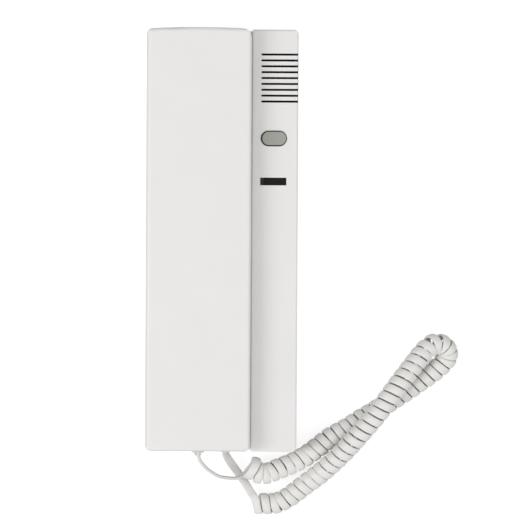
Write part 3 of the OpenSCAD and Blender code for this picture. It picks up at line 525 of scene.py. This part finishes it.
class Paint:
    """A Principled material that is built up node by node."""

    def __init__(self, name, **sockets):
        self.material = bpy.data.materials.new(name)
        self.material.use_nodes = True
        self.tree = self.material.node_tree
        self.shader = self.tree.nodes["Principled BSDF"]
        for socket, value in sockets.items():
            self.shader.inputs[socket.replace("_", " ")].default_value = value
        self.where = self.node("ShaderNodeTexCoord").outputs["Object"]

    def node(self, kind, **settings):
        made = self.tree.nodes.new(kind)
        for key, value in settings.items():
            setattr(made, key, value)
        return made

    def link(self, a, b):
        self.tree.links.new(a, b)

    def stretched(self, scale):
        mapping = self.node("ShaderNodeMapping")
        mapping.inputs["Scale"].default_value = scale
        self.link(self.where, mapping.inputs["Vector"])
        return mapping.outputs["Vector"]

    def noise(self, scale, detail, vector=None):
        made = self.node("ShaderNodeTexNoise")
        made.inputs["Scale"].default_value = scale
        made.inputs["Detail"].default_value = detail
        self.link(vector or self.where, made.inputs["Vector"])
        return made.outputs["Fac"]

    def ramp(self, value, stops):
        made = self.node("ShaderNodeValToRGB")
        elements = made.color_ramp.elements
        while len(elements) < len(stops):
            elements.new(0.5)
        for element, (at, colour) in zip(elements, stops):
            element.position = at
            element.color = (*colour, 1)
        self.link(value, made.inputs["Fac"])
        return made.outputs["Color"]

    def tones(self, value, stops, colour, tints):
        """Tints of one colour between two stops of a value."""
        return self.ramp(value, [(at, tint(colour, by)) for at, by in zip(stops, tints)])

    def spread(self, value, low, high, start=0.0, stop=1.0):
        """A value from start to stop, brought to the range from low to high."""
        made = self.node("ShaderNodeMapRange")
        made.inputs["From Min"].default_value = start
        made.inputs["From Max"].default_value = stop
        made.inputs["To Min"].default_value = low
        made.inputs["To Max"].default_value = high
        self.link(value, made.inputs["Value"])
        return made.outputs["Result"]

    def split(self, vector):
        made = self.node("ShaderNodeSeparateXYZ")
        self.link(vector, made.inputs["Vector"])
        return made.outputs["X"], made.outputs["Y"], made.outputs["Z"]

    def math(self, operation, a, b=None):
        made = self.node("ShaderNodeMath", operation=operation)
        for socket, value in zip(made.inputs, (a, b)):
            if isinstance(value, (int, float)):
                socket.default_value = value
            elif value is not None:
                self.link(value, socket)
        return made.outputs["Value"]

    def vector(self, operation, a, b=None):
        made = self.node("ShaderNodeVectorMath", operation=operation)
        self.link(a, made.inputs[0])
        if b is not None:
            made.inputs[1].default_value = b
        return made.outputs["Vector"]

    def inside(self, low, high):
        """1 inside a box and 0 outside it."""
        low, high = Vector(low), Vector(high)
        off = self.vector("ABSOLUTE", self.vector("SUBTRACT", self.where, (low + high) / 2))
        x, y, z = self.split(self.vector("SUBTRACT", off, (high - low) / 2))
        return self.math("LESS_THAN", self.math("MAXIMUM", self.math("MAXIMUM", x, y), z), 0.0)

    def outside_capsule(self, centre, length, width, softness):
        """0 inside a capsule seen along Z and 1 outside it, with a soft line between them."""
        x, y, _ = self.split(self.vector("SUBTRACT", self.where, centre))
        x = self.math("MAXIMUM", self.math("SUBTRACT", self.math("ABSOLUTE", x), (length - width) / 2), 0.0)
        off = self.math("SQRT", self.math("ADD", self.math("MULTIPLY", x, x), self.math("MULTIPLY", y, y)))
        return self.spread(off, 0.0, 1.0, (width - softness) / 2, (width + softness) / 2)

    def mixed(self, share, a, b):
        made = self.node("ShaderNodeMixRGB")
        made.inputs["Color2"].default_value = (*b, 1)
        self.link(share, made.inputs["Fac"])
        self.link(a, made.inputs["Color1"])
        return made.outputs["Color"]

    def colour(self, value):
        self.link(value, self.shader.inputs["Base Color"])

    def rough(self, value):
        self.link(value, self.shader.inputs["Roughness"])

    def bump(self, height, strength, distance):
        made = self.node("ShaderNodeBump")
        made.inputs["Strength"].default_value = strength
        made.inputs["Distance"].default_value = distance
        self.link(height, made.inputs["Height"])
        self.link(made.outputs["Normal"], self.shader.inputs["Normal"])


def tint(colour, by):
    return tuple(max(0.0, min(1.0, c * by)) for c in colour)


CLOUD_SCALE = 45
CLOUD_DETAIL = 4
CLOUD_STOPS = (0.3, 0.7)
GLOSS_SCALE = 270
GLOSS_DETAIL = 5
GRAIN_SCALE = 2600
GRAIN_DETAIL = 2
GRAIN_DEPTH = 0.00004
# Colour of the painted shade in narrow gaps and recesses
PAINTED_SHADE = (0.012, 0.011, 0.011)


def moulded(name, colour, rough, variation=0.02, grain=0.25, painted_shade_where=None, **sockets):
    """Moulded plastic with a fine spark grain, and clouds of slightly different tone and gloss.

    It is painted with shade where its mask argument says so, such as in a narrow gap.
    """
    paint = Paint(name, **sockets)
    clouds = paint.noise(CLOUD_SCALE, CLOUD_DETAIL)
    tone = paint.tones(clouds, CLOUD_STOPS, colour, (1 - variation, 1 + variation))
    if painted_shade_where:
        tone = paint.mixed(painted_shade_where(paint), tone, PAINTED_SHADE)
    paint.colour(tone)
    paint.rough(paint.spread(paint.noise(GLOSS_SCALE, GLOSS_DETAIL), *rough))
    paint.bump(paint.noise(GRAIN_SCALE, GRAIN_DETAIL), grain, GRAIN_DEPTH)
    return paint.material


BRUSH_STRETCH = (90, 90, 2600)
BRUSH_DETAIL = 4
BRUSH_STOPS = (0.25, 0.75)
BRUSH_TINTS = (0.9, 1.05)
BRUSH_STRENGTH = 0.2
BRUSH_DEPTH = 0.00003


def metal(name, colour, rough):
    """Metal with fine drawn lines along one direction and small differences of tone."""
    paint = Paint(name, Metallic=1.0)
    lines = paint.noise(1.0, BRUSH_DETAIL, paint.stretched(BRUSH_STRETCH))
    paint.colour(paint.tones(lines, BRUSH_STOPS, colour, BRUSH_TINTS))
    paint.rough(paint.spread(lines, *rough))
    paint.bump(lines, BRUSH_STRENGTH, BRUSH_DEPTH)
    return paint.material


CLOTH_ROUGHNESS = 0.9
CLOTH_SPECULAR = 0.15
WEAVE_SCALE = 125
WEAVE_STOPS = (0.1, 0.8)
WEAVE_TINTS = (0.4, 1.4)
WEAVE_STRENGTH = 0.6
WEAVE_DEPTH = 0.0002


def woven(name, colour):
    """Plain weave of two sets of threads, which pass over and under each other."""
    paint = Paint(name, Roughness=CLOTH_ROUGHNESS, Specular_IOR_Level=CLOTH_SPECULAR)
    waves = []
    for direction in ("X", "Y"):
        wave = paint.node("ShaderNodeTexWave", bands_direction=direction, wave_profile="SIN")
        wave.inputs["Scale"].default_value = WEAVE_SCALE
        paint.link(paint.where, wave.inputs["Vector"])
        waves.append(wave.outputs["Fac"])
    weave = paint.math("MULTIPLY", *waves)
    paint.colour(paint.tones(weave, WEAVE_STOPS, colour, WEAVE_TINTS))
    paint.bump(weave, WEAVE_STRENGTH, WEAVE_DEPTH)
    return paint.material


BOARD_COAT = 0.3
BOARD_ROUGH = (0.3, 0.45)
BOARD_GLOSS_SCALE = 300
BOARD_GLOSS_DETAIL = 3
TRACK_SCALE = 60
TRACK_WIDTH = 0.012
TRACK_TINT = 0.85
TRACK_STRENGTH = 0.4
TRACK_DEPTH = 0.00004


def laminate(name, colour, copper):
    """Circuit board: solder mask over faint copper tracks."""
    paint = Paint(name, Coat_Weight=BOARD_COAT)
    tracks = paint.node("ShaderNodeTexBrick")
    tracks.inputs["Scale"].default_value = TRACK_SCALE
    tracks.inputs["Mortar Size"].default_value = TRACK_WIDTH
    tracks.inputs["Color1"].default_value = (*colour, 1)
    tracks.inputs["Color2"].default_value = (*tint(colour, TRACK_TINT), 1)
    tracks.inputs["Mortar"].default_value = (*copper, 1)
    paint.link(paint.where, tracks.inputs["Vector"])
    paint.colour(tracks.outputs["Color"])
    paint.rough(paint.spread(paint.noise(BOARD_GLOSS_SCALE, BOARD_GLOSS_DETAIL), *BOARD_ROUGH))
    paint.bump(tracks.outputs["Fac"], TRACK_STRENGTH, TRACK_DEPTH)
    return paint.material


LENS_ROUGHNESS = 0.12
LENS_IOR = 1.49
LENS_SPECULAR = 0.14
# Tones of the window from its left end to its right: the paler stretch at the left end is a painted
# reflection
LENS_TONES_AND_REFLECTION = [
    (0.0, (0.036, 0.026, 0.026)), (0.155, (0.032, 0.023, 0.023)),
    (0.19, (0.011, 0.006, 0.006)), (1.0, (0.013, 0.008, 0.008)),
]
RIPPLE_SCALE = 500
RIPPLE_DETAIL = 2
RIPPLE_STRENGTH = 0.05
RIPPLE_DEPTH = 0.00002


def smoked_lens(name):
    """Smoked window: near black, polished, and a little paler at its left end through a painted reflection.
    """
    paint = Paint(name, Roughness=LENS_ROUGHNESS, IOR=LENS_IOR, Specular_IOR_Level=LENS_SPECULAR)
    low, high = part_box("indicator_window")
    place = paint.spread(paint.split(paint.where)[0], 0.0, 1.0, low.x, high.x)
    paint.colour(paint.ramp(place, LENS_TONES_AND_REFLECTION))
    paint.bump(paint.noise(RIPPLE_SCALE, RIPPLE_DETAIL), RIPPLE_STRENGTH, RIPPLE_DEPTH)
    return paint.material


# Painted shade on the plastic: dark colour in the depths of the sound slots, and in the rim round the
# button's face

SLOT_LIP = 0.0006
WALL_SKIN = 0.00005
# The button's face as a capsule, set a little to the right, so that the painted shade rim round it is wider
# at its left end
BUTTON_FACE = (0.0124, 0.0069)
BUTTON_FACE_SHIFT = (0.00024, 0.0, 0.0)
BUTTON_FACE_SOFTNESS = 0.0001


# Painted shade: the slots' walls and floors by the right wall are coloured dark, where shade falls
def painted_shade_in_slots(paint):
    cloth_low, cloth_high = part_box("grille_cloth")
    low = (cloth_high.x, cloth_low.y, cloth_low.z)
    return paint.inside(low, (base_high.x - WALL_SKIN, cloth_high.y, base_high.z - SLOT_LIP))


# Painted shade: the button is coloured dark outside its face, where the gap round it lies in shade
def painted_shade_round_button(paint):
    low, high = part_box("release_button")
    centre = (low + high) / 2 + Vector(BUTTON_FACE_SHIFT)
    return paint.outside_capsule(centre, *BUTTON_FACE, BUTTON_FACE_SOFTNESS)


# The shell plastic carries painted shade in the depths of the sound slots
shell_plastic = moulded(
    "shell_plastic", colour=(0.80, 0.785, 0.775), rough=(0.36, 0.46), variation=0.008,
    painted_shade_where=painted_shade_in_slots,
    Subsurface_Weight=0.2, Subsurface_Radius=(1, 0.95, 0.9), Subsurface_Scale=0.0012,
)
plate_plastic = moulded("plate_plastic", colour=(0.68, 0.68, 0.66), rough=(0.42, 0.52))
# The button carries a painted shade rim round its face
button_plastic = moulded(
    "button_plastic", colour=(0.34, 0.34, 0.31), rough=(0.26, 0.34), variation=0.03,
    painted_shade_where=painted_shade_round_button,
)
dark_plastic = moulded("dark_plastic", colour=(0.03, 0.03, 0.03), rough=(0.4, 0.5), variation=0.15)
terminal_plastic = moulded(
    "terminal_plastic", colour=(0.05, 0.12, 0.45), rough=(0.35, 0.45), variation=0.05,
)
lamp_plastic = moulded(
    "lamp_plastic", colour=(0.55, 0.05, 0.03), rough=(0.08, 0.14), variation=0.05, grain=0.03,
    Transmission_Weight=0.4,
)
seal_rubber = moulded("seal_rubber", colour=(0.03, 0.03, 0.03), rough=(0.7, 0.85), variation=0.2, grain=0.5)
bush_pvc = moulded("bush_pvc", colour=(0.66, 0.65, 0.63), rough=(0.5, 0.6), grain=0.35)
cord_pvc = moulded("cord_pvc", colour=(0.78, 0.765, 0.745), rough=(0.40, 0.50), variation=0.012, grain=0.2)
window_plastic = smoked_lens("window_plastic")
board_laminate = laminate("board_laminate", colour=(0.04, 0.22, 0.10), copper=(0.10, 0.30, 0.12))
steel = metal("steel", colour=(0.62, 0.62, 0.62), rough=(0.25, 0.42))
speaker_metal = metal("speaker_metal", colour=(0.10, 0.10, 0.10), rough=(0.4, 0.55))
capsule_metal = metal("capsule_metal", colour=(0.66, 0.66, 0.66), rough=(0.28, 0.4))
capacitor_sleeve = moulded(
    "capacitor_sleeve", colour=(0.03, 0.04, 0.12), rough=(0.2, 0.3), variation=0.08, grain=0.05,
)
cloth = woven("cloth", colour=(0.004, 0.004, 0.004))

NODE_PAINTS = {
    shell_plastic: ["base_cover", "handset_front_shell", "handset_back_shell", "hook_plunger"],
    plate_plastic: ["wall_plate", "led_spacer"],
    button_plastic: ["release_button"],
    dark_plastic: ["speaker_retainer", "button_switch", "switch_plunger", "hook_switch", "audio_chip"],
    terminal_plastic: ["terminal_block"],
    window_plastic: ["indicator_window"],
    lamp_plastic: ["indicator_led"],
    board_laminate: ["circuit_board"],
    steel: ["cover_screw", "board_screws", "terminal_screws", "handset_screws", "counterweight"],
    speaker_metal: ["call_speaker", "earpiece"],
    capsule_metal: ["microphone"],
    capacitor_sleeve: ["capacitors"],
    cloth: ["grille_cloth"],
    seal_rubber: ["earpiece_gasket", "microphone_boot"],
}
PIECE_PAINTS = {
    cord_pvc: [cord_handset_side, cord_base_side],
    bush_pvc: [handset_bush, base_bush],
    shell_plastic: [cradle_rib, handset_front, handset_back],
    steel: [button_coil, hook_coil],
}


def paint_piece(piece, material):
    piece.data.materials.clear()
    piece.data.materials.append(material)


for material, names in NODE_PAINTS.items():
    for name in names:
        paint_piece(nodes[name], material)
for material, pieces in PIECE_PAINTS.items():
    for piece in pieces:
        paint_piece(piece, material)


# Stage: a white floor that keeps a faint shadow, white surroundings, and soft light, stronger from the left

FLOOR_HALF = 3.0
FLOOR_DROP = 0.0002
FLOOR_GLOW = 0.80
FLOOR_COLOUR = (0.35, 0.35, 0.35, 1)
WORLD_AT_HORIZON = 0.36
WORLD_RISE = (0.0, -0.25, 0.58)
KEY_AT = (-0.80, -0.10, 1.15)
KEY_SIZE = (0.26, 0.70)
KEY_POWER = 4.9
FILL_AT = (0.85, -0.15, 0.75)
FILL_SIZE = (0.60, 0.60)
FILL_POWER = 1.3
LIT_POINT = (0, 0, 0.03)


def add_floor():
    corners = ((-1, -1), (1, -1), (1, 1), (-1, 1))
    points = [(x * FLOOR_HALF, y * FLOOR_HALF, -FLOOR_DROP) for x, y in corners]
    floor = mesh_object("floor", points, [(0, 1, 2, 3)], smooth=False)
    material = bpy.data.materials.new("floor")
    material.use_nodes = True
    tree = material.node_tree
    tree.nodes.clear()
    out = tree.nodes.new("ShaderNodeOutputMaterial")
    diffuse = tree.nodes.new("ShaderNodeBsdfDiffuse")
    diffuse.inputs["Color"].default_value = FLOOR_COLOUR
    glow = tree.nodes.new("ShaderNodeEmission")
    glow.inputs["Color"].default_value = (1, 1, 1, 1)
    seen = seen_directly(tree)
    level = tree.nodes.new("ShaderNodeMath")
    level.operation = "MULTIPLY"
    level.inputs[1].default_value = FLOOR_GLOW
    tree.links.new(seen, level.inputs[0])
    tree.links.new(level.outputs[0], glow.inputs["Strength"])
    both = tree.nodes.new("ShaderNodeAddShader")
    tree.links.new(diffuse.outputs[0], both.inputs[0])
    tree.links.new(glow.outputs[0], both.inputs[1])
    tree.links.new(both.outputs[0], out.inputs["Surface"])
    floor.data.materials.append(material)


def seen_directly(tree):
    """1 for rays from the camera, a mirror or glass, and 0 for light that falls on the object."""
    light = tree.nodes.new("ShaderNodeLightPath")
    value = light.outputs["Is Camera Ray"]
    for other in ("Is Glossy Ray", "Is Transmission Ray"):
        either = tree.nodes.new("ShaderNodeMath")
        either.operation = "MAXIMUM"
        tree.links.new(value, either.inputs[0])
        tree.links.new(light.outputs[other], either.inputs[1])
        value = either.outputs[0]
    return value


def add_world():
    world = bpy.data.worlds.new("world")
    world.use_nodes = True
    tree = world.node_tree
    background = tree.nodes["Background"]
    background.inputs["Color"].default_value = (1, 1, 1, 1)
    where = tree.nodes.new("ShaderNodeTexCoord")
    rise = tree.nodes.new("ShaderNodeVectorMath")
    rise.operation = "DOT_PRODUCT"
    rise.inputs[1].default_value = WORLD_RISE
    tree.links.new(where.outputs["Generated"], rise.inputs[0])
    light = tree.nodes.new("ShaderNodeMath")
    light.inputs[1].default_value = WORLD_AT_HORIZON
    tree.links.new(rise.outputs["Value"], light.inputs[0])
    level = tree.nodes.new("ShaderNodeMapRange")
    level.inputs["To Max"].default_value = 1.0
    tree.links.new(light.outputs["Value"], level.inputs["To Min"])
    tree.links.new(seen_directly(tree), level.inputs["Value"])
    tree.links.new(level.outputs["Result"], background.inputs["Strength"])
    scene.world = world


def add_area_light(name, at, size, power):
    data = bpy.data.lights.new(name, "AREA")
    data.shape = "RECTANGLE"
    data.size, data.size_y = size
    data.energy = power
    lamp = bpy.data.objects.new(name, data)
    lamp.location = at
    lamp.rotation_euler = (Vector(LIT_POINT) - Vector(at)).to_track_quat("-Z", "Y").to_euler()
    scene.collection.objects.link(lamp)


add_floor()
add_world()
add_area_light("key", KEY_AT, KEY_SIZE, KEY_POWER)
add_area_light("fill", FILL_AT, FILL_SIZE, FILL_POWER)
scene.view_settings.view_transform = "Standard"
